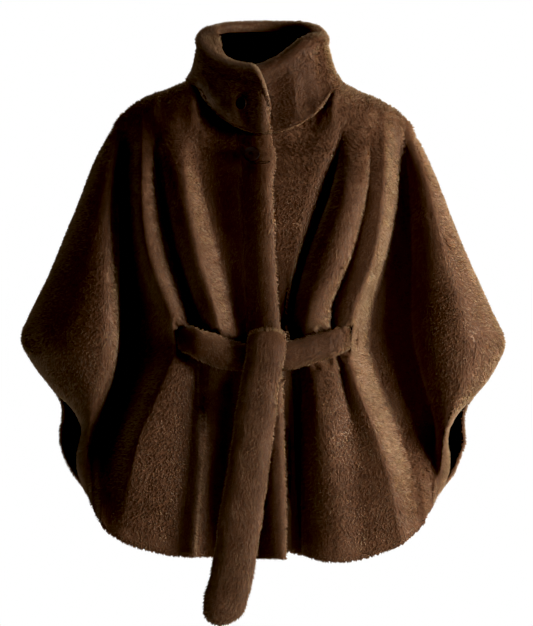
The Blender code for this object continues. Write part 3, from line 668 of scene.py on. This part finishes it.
def add_ramp(tree, source, first, last, between=()):
    """Adds a colour ramp from stops, each a position and a hex colour."""
    ramp = add_node(tree, "ShaderNodeValToRGB", {}, {"Fac": source})
    stops = ramp.color_ramp.elements
    for k, (position, code) in enumerate((first, last)):
        stops[k].position, stops[k].color = position, hex_colour(code)
    for position, code in between:
        stops.new(position).color = hex_colour(code)
    return ramp.outputs["Color"]


# Modacrylic plush, dyed brown: fibres dark at the root and pale and silky at the tip.
plush, tree, shader = new_material(
    "modacrylic_plush", 0.62, 0.2, Subsurface_Weight=0.6, Subsurface_Radius=(1.0, 0.7, 0.5),
    Subsurface_Scale=3 * MM, Sheen_Weight=0.28, Sheen_Roughness=0.5, Sheen_Tint=hex_colour("#c8a47c")
)
place = add_node(tree, "ShaderNodeUVMap", {"uv_map": "OFBake"})
split = add_node(tree, "ShaderNodeSeparateXYZ", {}, {"Vector": place.outputs["UV"]})
along = add_ramp(tree, split.outputs["Y"], (0.0, ROOT), (0.5, TIP), [(0.22, MIDDLE)])
lot = add_node(tree, "ShaderNodeMapRange", {"To Min": 0.6, "To Max": 1.4}, {"Value": split.outputs["X"]})
sources = {0: along, "Scale": lot.outputs["Result"]}
shade = add_node(tree, "ShaderNodeVectorMath", {"operation": "SCALE"}, sources)
tree.links.new(shade.outputs["Vector"], shader.inputs["Base Color"])

# Warp-knitted polyester backing, dyed as the pile is, with the roots of the pile in it.
knit, tree, shader = new_material("knitted_backing", 0.9, 0.1)
cloudy = add_pattern(tree, "Noise", 14, Detail=3.0)
colour = add_ramp(tree, cloudy.outputs["Fac"], (0.0, MIDDLE), (1.0, TIP))
tree.links.new(colour, shader.inputs["Base Color"])
add_relief(tree, shader, add_pattern(tree, "Voronoi", 1.6).outputs["Distance"], 0.5, 0.4)

# Woven polyester satin lining, with slight puckers; its near black brown is painted shade for the unlit
# inside of the cape and collar.
lining_painted_shade, tree, shader = new_material("satin_lining_painted_shade", 0.8, 0.08, "#150c08")
add_relief(tree, shader, add_pattern(tree, "Noise", 30).outputs["Fac"], 0.4, 2)

# Polyester button, turned and polished, near black brown, with a cloudy figure cast into it.
button_gloss, tree, shader = new_material("polyester_button", 0.5, 0.15, IOR=1.55)
cloud = add_pattern(tree, "Noise", 5, Detail=4.0, Distortion=1.2)
colour = add_ramp(tree, cloud.outputs["Fac"], (0.35, "#0a0504"), (0.7, "#26150e"))
tree.links.new(colour, shader.inputs["Base Color"])
add_relief(tree, shader, add_pattern(tree, "Noise", 0.6).outputs["Fac"], 0.15, 0.1)

# Spun polyester sewing thread, dark brown, with its twist.
thread, tree, shader = new_material("sewing_thread", 0.8, 0.2, "#1c110b")
twist = add_pattern(tree, "Wave", 2.5, bands_direction="DIAGONAL")
add_relief(tree, shader, twist.outputs["Fac"], 0.5, 0.15)


def finish_piece(piece, node):
    """Hangs a piece on the frame, in place of a CAD node."""
    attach(piece, "root")
    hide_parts(node)
    return piece


def clear_button(cover, grid, node):
    """Leaves the cloth bare under a piece's button."""
    if node in BUTTON_SPOTS:
        across, level, clear = BUTTON_SPOTS[node]
        near = np.hypot(grid[..., 0] - across, grid[..., 2] - level) < clear
        cover[near & (grid[..., 1] < 0)] = 0.0


def fur_panel(name, node, grid, way, seed, plane, edge=False, slit=False, spacing=PILE_SPACING):
    """One cut piece of fur cloth: its backing and lining as a wall, and the pile on it."""
    out = normals_of(grid, way)
    depth = PILE_HIGH * np.clip(0.15 + np.arange(len(grid)) / 6, 0, 1)[:, None, None]
    skin = grid - out * depth
    thick = np.full(grid.shape[:2], BACKING)
    turned = len(EDGE_SHARES)
    thick[-turned:] += EDGE_THICK * EDGE_SHARES[:, None]
    if edge:
        thick[:, :turned] = np.maximum(thick[:, :turned], BACKING + EDGE_THICK * EDGE_SHARES[::-1])
    under = skin - out * thick[..., None]
    for face in (skin, under):
        face[..., 1] = plane * np.maximum(plane * face[..., 1], GAP / 2)
    cover = np.ones(grid.shape[:2])
    cover[-3:] = HEM_COVER
    open_ = None
    if slit:
        off_x, off_z = abs(abs(grid[..., 0]) - SLIT_AT), abs(grid[..., 2] - SLIT_LEVEL)
        middle = (grid[1:, 1:] + grid[:-1, :-1]) / 2
        open_ = abs(abs(middle[..., 0]) - SLIT_AT) < SLIT_HALF[0]
        open_ &= abs(middle[..., 2] - SLIT_LEVEL + 2) < SLIT_HALF[1]
        cover[(off_x < SLIT_BARE[0]) & (off_z < SLIT_BARE[1])] = 0.0
    backing = finish_piece(wall(name, skin, under, way, open_), node)
    clear_button(cover, grid, node)
    parts = [tufts(skin, out, cover, seed, spacing=spacing)]
    down, aside = (unit(np.gradient(skin, axis=axis)) for axis in (0, 1))
    cut = [(-1, down, HEM_COVER, 50)]
    if edge:
        cut.append(((slice(None), 0), -aside, FRONT_COVER, 60))
    apart = np.flatnonzero(abs(skin[:, -1, 1]) > SEAM_OPEN)
    if len(apart):
        cut.append(((slice(apart[0], apart[-1] + 1), -1), aside, SLIT_COVER, 70))
    for at, beyond, share, more in cut:
        # A cut edge takes three rows, from the face round to the inside.
        face, inner, away, beyond = skin[at], under[at], out[at], beyond[at]
        rows = np.stack([face, (face + inner) / 2 + beyond * 0.8, inner])
        normals = unit(np.stack([away + beyond, beyond, beyond - 0.6 * away]))
        share = np.full(rows.shape[:2], share)
        parts.append(tufts(rows, normals, share, seed + more, EDGE_LEAN, spacing, EDGE_CLUMPING))
    return backing, finish_piece(pile(name + "_pile", parts), node)


def strap_rings(rows, wide, plump):
    """Sections of a soft strip along its path, as a grid. Rows: middle, half width, half thickness."""
    rows = np.asarray(rows, float)
    along = np.concatenate([[0], np.cumsum(np.linalg.norm(np.diff(rows[:, :3], axis=0), axis=1))])
    at = np.linspace(0, along[-1], int(along[-1] / RING_STEP) + 2)
    path = np.stack([hermite(along, v, np.gradient(v, along), at) for v in rows.T], axis=1)
    ahead = unit(np.gradient(path[:, :3], axis=0))
    wide = np.asarray(wide, float)
    across = unit(wide - ahead * (ahead @ wide)[:, None])
    facing = np.cross(ahead, across)
    facing *= np.where(facing[:, 1:2] > 0, -1.0, 1.0)
    turn = np.linspace(0, math.tau, STRAP_SIDES + 1)
    # Powers below 1 make the section fuller than an ellipse.
    c = np.copysign(abs(np.cos(turn)) ** 0.8, np.cos(turn))
    s = np.copysign(abs(np.sin(turn)) ** 0.95, np.sin(turn))
    thick = path[:, 4:5] + plump * np.maximum(s, 0)[None]
    rings = path[:, None, :3] + across[:, None] * path[:, None, 3:4] * c[None, :, None]
    rings = rings + facing[:, None] * (thick * s)[..., None]
    return rings + 1.3 * drift(rings, 26.0, 3)


def ring_normals(grid):
    """Outward unit normals of a grid whose rows are closed rings."""
    wrapped = np.concatenate([grid[:, -2:-1], grid, grid[:, 1:2]], axis=1)
    out = unit(np.cross(np.gradient(grid, axis=0), np.gradient(wrapped, axis=1)[:, 1:-1]))
    away = ((grid - grid.mean(axis=1, keepdims=True)) * out).sum()
    return out if away > 0 else -out


def tube(name, skin, under, lined=None):
    """A closed hollow tube: an outer and an inner skin through closed rings, with both ends shut."""
    count, sides = skin.shape[0], skin.shape[1] - 1
    outer, inner = skin[:, :-1].reshape(-1, 3), under[:, :-1].reshape(-1, 3)
    index = np.arange(count * sides).reshape(count, sides)
    after = np.roll(index, -1, axis=1)
    side = np.stack([index[:-1], after[:-1], after[1:], index[1:]], axis=-1).reshape(-1, 4)
    p = outer[side]
    volume = (np.cross(p[:, 1] - p[:, 0], p[:, 3] - p[:, 0]) * (p[:, 0] - outer.mean(axis=0))).sum()
    ends = []
    for ring, flip in ((index[0], -1), (index[-1], 1)):
        for k in range(sides // 2 - 1):
            quad = (ring[k], ring[k + 1], ring[sides - 2 - k], ring[sides - 1 - k])
            ends.append(quad[::flip])
    faces = np.concatenate([side, np.array(ends)])[:, :: 1 if volume > 0 else -1]
    total = len(outer)
    both = np.concatenate([faces, faces[:, ::-1] + total])
    made = put_mesh(name, np.concatenate([outer, inner]), both, (knit, lining_painted_shade))
    if lined is not None:
        slots = np.zeros(2 * len(faces), np.int32)
        slots[: (count - 1) * sides] = lined[:-1, :-1].ravel()
        made.data.polygons.foreach_set("material_index", slots)
    return made


def fur_tube(name, node, grid, seed, spacing, lean, lined=None):
    """A strip of fur sewn into a tube, with its pile."""
    out = ring_normals(grid)
    skin = grid - out * PILE_HIGH
    backing = finish_piece(tube(name, skin, skin - out * TUBE_BACKING, lined), node)
    cover = np.ones(grid.shape[:2]) if lined is None else 1.0 - lined
    clear_button(cover, grid, node)
    parts = [tufts(skin, out, cover, seed, lean, spacing, 0.2)]
    return backing, finish_piece(pile(name + "_pile", parts), node)


def around_path(along, values, at):
    """A smooth line round a closed loop of values."""
    period, knots, v = along[-1], along[:-1], values[:-1]
    reach = (np.roll(knots, -1) - knots) % period + (knots - np.roll(knots, 1)) % period
    slope = (np.roll(v, -1) - np.roll(v, 1)) / reach
    return hermite(along, values, np.append(slope, slope[0]), at)


def ease_in(t):
    """0 up to 0, 1 from 1, and smooth between."""
    t = min(max(t, 0.0), 1.0)
    return t * t * (3 - 2 * t)


def mound(x, high, middle, reach):
    """A smooth rise of some height, middle and reach."""
    return high * math.exp(-(((x - middle) / reach) ** 2))


def collar_rings(angles, shoulders):
    """Sections of the stand collar round the neck, lapped right end first, with its foot on the shoulders."""
    loop = np.asarray([*COLLAR_SECTION, COLLAR_SECTION[0]], float)
    steps = np.hypot(np.diff(loop[:, 0]), 90 * np.diff(loop[:, 1]))
    far = np.concatenate([[0], np.cumsum(steps)])
    at = np.linspace(0, far[-1], COLLAR_SIDES + 1)
    shape = np.stack([around_path(far, column, at) for column in loop.T], axis=1)
    rings = []
    for a in angles:
        turn = math.radians(a)
        to_front, aside = math.cos(turn) > 0, abs(math.sin(turn))
        deep = COLLAR_DEEP[0 if to_front else 1]
        lap = COLLAR_LAP * (ease_in((70 - a) / 70) - ease_in((a - 290) / 70))
        edge = min(a + 5.0, 376.0 - a)
        full = 0.5 + 0.5 * math.sqrt(max(0.0, 1 - (1 - min(edge / 5.0, 1)) ** 2))
        out = Vector((-math.sin(turn) / COLLAR_HALF, -math.cos(turn) / deep, 0)).normalized()
        top = FRONT_NECK if to_front else BACK_NECK
        # The lapped corner of the rim is cut round.
        rim = float(even(COLLAR_RIM, a)) - 44.0 * max(0.0, (14.0 - a) / 19.0) ** 2.6
        tilt = 4.5 + 8.5 * abs(math.sin(2 * turn)) if to_front else 4.5 * aside
        flare = (3.0 + 6.0 * ease_in(1.5 * aside)) * full
        reach = 6 + lap + flare
        at_foot = (-COLLAR_HALF * math.sin(turn) + out.x * reach, -deep * math.cos(turn) + out.y * reach)
        off = (shoulders[:, :2] - at_foot) ** 2
        under_foot = float(np.sort(shoulders[np.argsort(off.sum(axis=1))[:6], 2])[-3:].mean())
        ring = []
        for offset, h in shape:
            away = -WALL_MIDDLE + (offset + WALL_MIDDLE) * full + lap - h * (6.0 - 4.0 * math.sin(turn))
            if offset > OUTER:
                away += mound(h, flare, 0, 0.2)
                for middle, level, wide, high, deepest in COLLAR_HOLLOWS:
                    near = 1 - ((a - middle) / wide) ** 2 - ((h - level) / high) ** 2
                    away -= deepest * max(near, 0.0) ** 1.3
                # The rolled rim and the groove under it, the ridge of the lap and the hollow beside it.
                away += mound(h, 2.5, 0.9, 0.1) - mound(h, 1.5, 0.7, 0.07)
                away += mound(a, 8.0, -0.5, 8.0)
                away -= 5.0 * ease_in((a - 3.0) / 14.0) * (1 - ease_in((a - 40.0) / 50.0))
            else:
                away -= mound(h, RIM_ROLL + mound(a, 12.0, 80.0, 32.0), 0.95, 0.14)
            x = -COLLAR_HALF * math.sin(turn) + out.x * away
            foot = float(even(top, abs(x))) + CLEAR
            if offset > OUTER:
                foot = max(under_foot, foot - 2.0 - 8.0 * ease_in((abs(x) - 75.0) / 30.0))
                foot -= mound(a, 7.0, 300.0, 24.0)
            foot += tilt * max(-offset, 0.0) / 20 * max(0.0, 1 - h / 0.1)
            ring.append((x, -deep * math.cos(turn) + out.y * away - 5.0 * h, foot + (rim - foot) * h))
        rings.append(ring)
    return np.asarray(rings)


def inside_collar(rings):
    """Marks the collar's inner face, which is lined and has no pile, and its foot, where the pile is thinner.
    """
    rim = rings[..., 2].max(axis=1, keepdims=True)
    outer = np.hypot(rings[..., 0] / COLLAR_HALF, rings[..., 1] / (sum(COLLAR_DEEP) / 2))
    middle = (outer.max(axis=1, keepdims=True) + outer.min(axis=1, keepdims=True)) / 2
    inside = (outer < middle) & (rings[..., 2] < rim - LINED_DEPTH)
    foot = rings[..., 2] < rings[..., 2].min(axis=1, keepdims=True) + 1.5
    return np.maximum(inside, foot * 0.35)


right = panel(
    RIGHT_LINES, RIGHT_SIDE, 0, FRONT_NECK + RIGHT_SHOULDER, lambda x: neck_depth(x, -83.0, -12.0), RIGHT_HEM
)
seam = (RIGHT_LINES[0][2] + RIGHT_LINES[1][2]) * FINER
# The band swings out at its button and in again below it.
levels = right[..., 2]
wave = 6.5 * np.exp(-(((levels + 95) / 24) ** 2)) - 2.0 * np.exp(-(((levels + 145) / 24) ** 2))
right[..., 0] += wave * np.exp(-np.arange(right.shape[1]) / 6.0)
fur_panel("button_band", "front_band", right[:, : seam + 1], -1, 11, plane=-1, edge=True, spacing=2.4)
fur_panel("right_front", "front_right", right[:, seam:], -1, 12, plane=-1, slit=True)
left = panel(LEFT_LINES, LEFT_SIDE, 0, FRONT_NECK + LEFT_SHOULDER, lambda x: neck_depth(x, -81.0), LEFT_HEM)
# The top of its roll stands out from under the collar.
left[..., 1] -= 9.0 * np.exp(-(((left[..., 0] - 90) / 14) ** 2) - ((left[..., 2] + 14) / 18) ** 2)
fur_panel("left_front", "front_left", left, 1, 13, plane=-1, edge=True, slit=True)
tops = [right[:TOP_ROWS].reshape(-1, 3), left[:TOP_ROWS].reshape(-1, 3)]
for name, node, lines, side, shoulder, way, seed in (
    ("back_right", "rear_right", BACK_RIGHT, RIGHT_SIDE, RIGHT_SHOULDER, 1, 14),
    ("back_left", "rear_left", BACK_LEFT, LEFT_SIDE, LEFT_SHOULDER, -1, 15),
):
    top = BACK_NECK + shoulder
    half = panel((BACK_MIDDLE, *lines), side, 1, top, lambda x: neck_depth(x, 72.0), BACK_HEM)
    tops.append(half[:TOP_ROWS].reshape(-1, 3))
    pieces = fur_panel(name, node, half, way, seed, plane=1, spacing=2.7)
for name, rows, wide, seed, plump, spacing, flat, held, rests_on in (
    ("belt_right", BELT_RIGHT, (0, 0, 1), 21, 4.0, 2.2, (0.11, 0.14), "draped", "right_front"),
    ("belt_left", BELT_LEFT, (0, 0, 1), 22, 4.0, 2.2, (0.11, 0.14), "draped", "left_front"),
    ("belt_tail", BELT_TAIL, (1, 0, 0), 23, 6.0, 2.2, (0.125, 0.44), "hung", "belt_left_strip"),
    ("belt_under_tail", BELT_UNDER_TAIL, (1, 0, 0), 24, 0.0, 2.2, (0.055, 0.055), "folded",
     "belt_right_strip"),
    ("belt_inside", BELT_INSIDE, (0, 0, 1), 25, 0.0, 2.9, (0.125, 0.56), "draped", "back_right"),
):
    rings = strap_rings(rows, wide, plump)
    pieces = fur_tube(name + "_strip", name, rings, seed, spacing, 50.0)
collar_angles = [-5, -4.6, -4, -3, -2, *np.arange(0, 371, 2.5), 372, 373.5, 374.5, 375.4, 376]
collar = collar_rings(collar_angles, np.concatenate(tops))
fur_tube("collar_stand", "collar", collar, 31, 2.2, 44, inside_collar(collar))


def in_place(made, middle, tip, swing):
    """Turns a piece made flat to face forwards, moves it to its place and applies both."""
    made.rotation_euler = (math.radians(90 - tip), 0, math.radians(swing))
    made.location = [c * MM for c in middle]
    bpy.ops.object.select_all(action="DESELECT")
    made.select_set(True)
    bpy.context.view_layer.objects.active = made
    bpy.ops.object.transform_apply()
    return made


def thread_ring(name, steps, radius, thick, scale, turned, place=(0, 0, 0)):
    """A ring of thread, drawn out or in by its scale."""
    bpy.ops.mesh.primitive_torus_add(
        location=place, rotation=turned, major_segments=steps, minor_segments=10,
        major_radius=radius * MM, minor_radius=thick * MM
    )
    made = bpy.context.object
    made.name = made.data.name = name
    made.scale = scale
    bpy.ops.object.transform_apply()
    bpy.ops.object.shade_smooth()
    made.data.materials.append(thread)
    return made


def add_button(name, node, middle, across, thick, tip, swing):
    """A four-hole button with a raised rim, sewn on with two bars of thread."""
    bpy.ops.mesh.primitive_cylinder_add(vertices=48, radius=across / 2 * MM, depth=thick * MM)
    body = bpy.context.object
    body.name = body.data.name = name
    for face in body.data.polygons:
        face.select = face.normal.z > 0.9
    bpy.ops.object.mode_set(mode="EDIT")
    bpy.ops.mesh.select_mode(type="FACE")
    for inset, sink in BUTTON_STEPS:
        bpy.ops.mesh.inset(thickness=across * inset * MM)
        bpy.ops.transform.translate(value=(0, 0, -thick * sink * MM))
    bpy.ops.object.mode_set(mode="OBJECT")
    soft = body.modifiers.new("soft_edges", "BEVEL")
    soft.width, soft.segments, soft.angle_limit = thick * 0.14 * MM, 3, math.radians(25)
    bpy.ops.object.modifier_apply(modifier="soft_edges")
    for k in range(4):
        turn = math.radians(45 + 90 * k)
        spot = (1.75 * MM * math.cos(turn), 1.75 * MM * math.sin(turn), 0)
        bpy.ops.mesh.primitive_cylinder_add(vertices=16, radius=0.9 * MM, depth=thick * 3 * MM, location=spot)
        drill = bpy.context.object
        bpy.context.view_layer.objects.active = body
        hole = body.modifiers.new("hole", "BOOLEAN")
        hole.operation, hole.solver, hole.object = "DIFFERENCE", "EXACT", drill
        bpy.ops.object.modifier_apply(modifier="hole")
        bpy.data.objects.remove(drill, do_unlink=True)
    body.data.materials.clear()
    body.data.materials.append(button_gloss)
    for k, side in enumerate((-1, 1)):
        place = (side * 1.24 * MM, 0, thick * 0.16 * MM)
        bar = thread_ring(
            f"{name}_thread_{k + 1}", 24, 1.3, 0.5, (0.7, 1.0, 1.0), (0, math.radians(90), 0), place
        )
        finish_piece(in_place(bar, middle, tip, swing), node)
    in_place(body, middle, tip, swing)
    bpy.ops.object.shade_smooth_by_angle(angle=math.radians(35))
    return finish_piece(body, node)


def add_buttonhole(name, node, middle, long, tip, swing, slope):
    """The bound edge of a buttonhole: thread worked round a slit."""
    hole = thread_ring(name, 48, long / 2, 1.0, (1.0, 0.16, 1.0), (0, 0, math.radians(slope)))
    return finish_piece(in_place(hole, middle, tip, swing), node)


add_button("band_button", "button", (-18.5, -113.8, -90), 23.0, 4.5, 27, 0)
add_button("collar_button_turned", "collar_button", (-33.8, -99.5, -17), 17.0, 4.0, 0, -30)
add_buttonhole("band_buttonhole", "front_band", (-3, -120.8, -103), 22.0, 22, 10, 8)

bpy.ops.mesh.primitive_plane_add(size=12.0, location=(0, 0, cad_box[0].z - 0.75))
floor = bpy.context.object
floor.name = "studio_floor"
floor.data.materials.append(new_material("pale_floor_paint", 0.8, 0.5, "#f2f1ef")[0])

world = bpy.data.worlds.new("studio_surround")
world.use_nodes = True
surround = world.node_tree.nodes["Background"]
surround.inputs["Color"].default_value = (1, 1, 1, 1)
rays = add_node(world.node_tree, "ShaderNodeLightPath", {})
seen = {"Value": rays.outputs["Is Camera Ray"]}
dim = add_node(world.node_tree, "ShaderNodeMapRange", {"To Min": AMBIENT, "To Max": 1.0}, seen)
world.node_tree.links.new(dim.outputs["Result"], surround.inputs["Strength"])
scene.world = world
look = scene.view_settings
look.view_transform = "Standard"
look.gamma = 0.85
look.use_curve_mapping = True
look.curve_mapping.black_level = (BLACK, BLACK, BLACK)
look.curve_mapping.update()

middle = Vector((0.003, 0, -0.3225))


def area_light(name, size, power, place):
    """A square softbox facing the cape, unseen by the camera."""
    data = bpy.data.lights.new(name, "AREA")
    data.shape = "SQUARE"
    data.size = size
    data.energy = power
    made = bpy.data.objects.new(name, data)
    scene.collection.objects.link(made)
    made.location = place
    made.rotation_euler = (middle - place).to_track_quat("-Z", "Y").to_euler()
    made.visible_camera = False


def around(azimuth, height, distance=3.2):
    """A place round the cape: degrees from its front towards its left, degrees up, metres away."""
    a, e = math.radians(azimuth), math.radians(height)
    return middle + Vector((math.sin(a) * math.cos(e), -math.cos(a) * math.cos(e), math.sin(e))) * distance


area_light("key_softbox", 0.9, 134.0, around(57, 6, 2.8))
area_light("top_softbox", 1.6, 24.0, around(-40, 78))
area_light("left_fill", 1.6, 1.5, around(-28, -5))
area_light("back_softbox", 1.2, 60.0, around(180, 25))

lens = bpy.data.cameras.new("camera")
lens.lens = lens.sensor_width * DISTANCE / (VIEW_HIGH * MM)
camera = bpy.data.objects.new("camera", lens)
camera.location = middle + Vector((0, -math.cos(TILT), math.sin(TILT))) * DISTANCE
camera.rotation_euler = (middle - camera.location).to_track_quat("-Z", "Y").to_euler()
scene.collection.objects.link(camera)
scene.camera = camera
